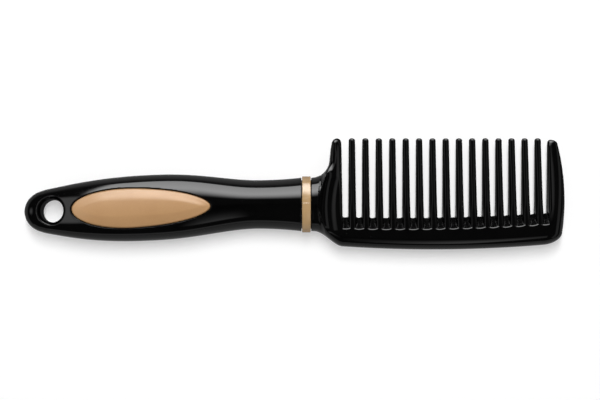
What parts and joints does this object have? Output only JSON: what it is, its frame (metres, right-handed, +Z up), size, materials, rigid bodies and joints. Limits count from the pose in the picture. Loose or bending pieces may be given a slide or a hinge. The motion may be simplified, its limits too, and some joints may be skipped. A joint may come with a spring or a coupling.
{
  "type": "handle comb",
  "caption": "Wide-tooth comb with its teeth at right angles to a thick oval handle, which has a hanging hole, grip inlays and a trim ring.",
  "frame": {"origin": "under the middle of the comb's box, at its lowest level", "axes": "+X along the handle towards the toothed head, +Y towards the tips of the teeth, +Z up through the thickness, towards the front of the comb"},
  "size_m": [0.23, 0.0474, 0.0214],
  "materials": {
    "head_plastic": "polished black",
    "handle_plastic": "polished black",
    "ring_plastic": "glossy tan",
    "insert_plastic": "satin tan"
  },
  "bodies": {
    "root": {"comb_head": "head_plastic", "trim_ring": "ring_plastic", "handle_front_shell": "handle_plastic", "handle_back_shell": "handle_plastic", "front_grip_insert": "insert_plastic", "back_grip_insert": "insert_plastic"}
  },
  "joints": []
}
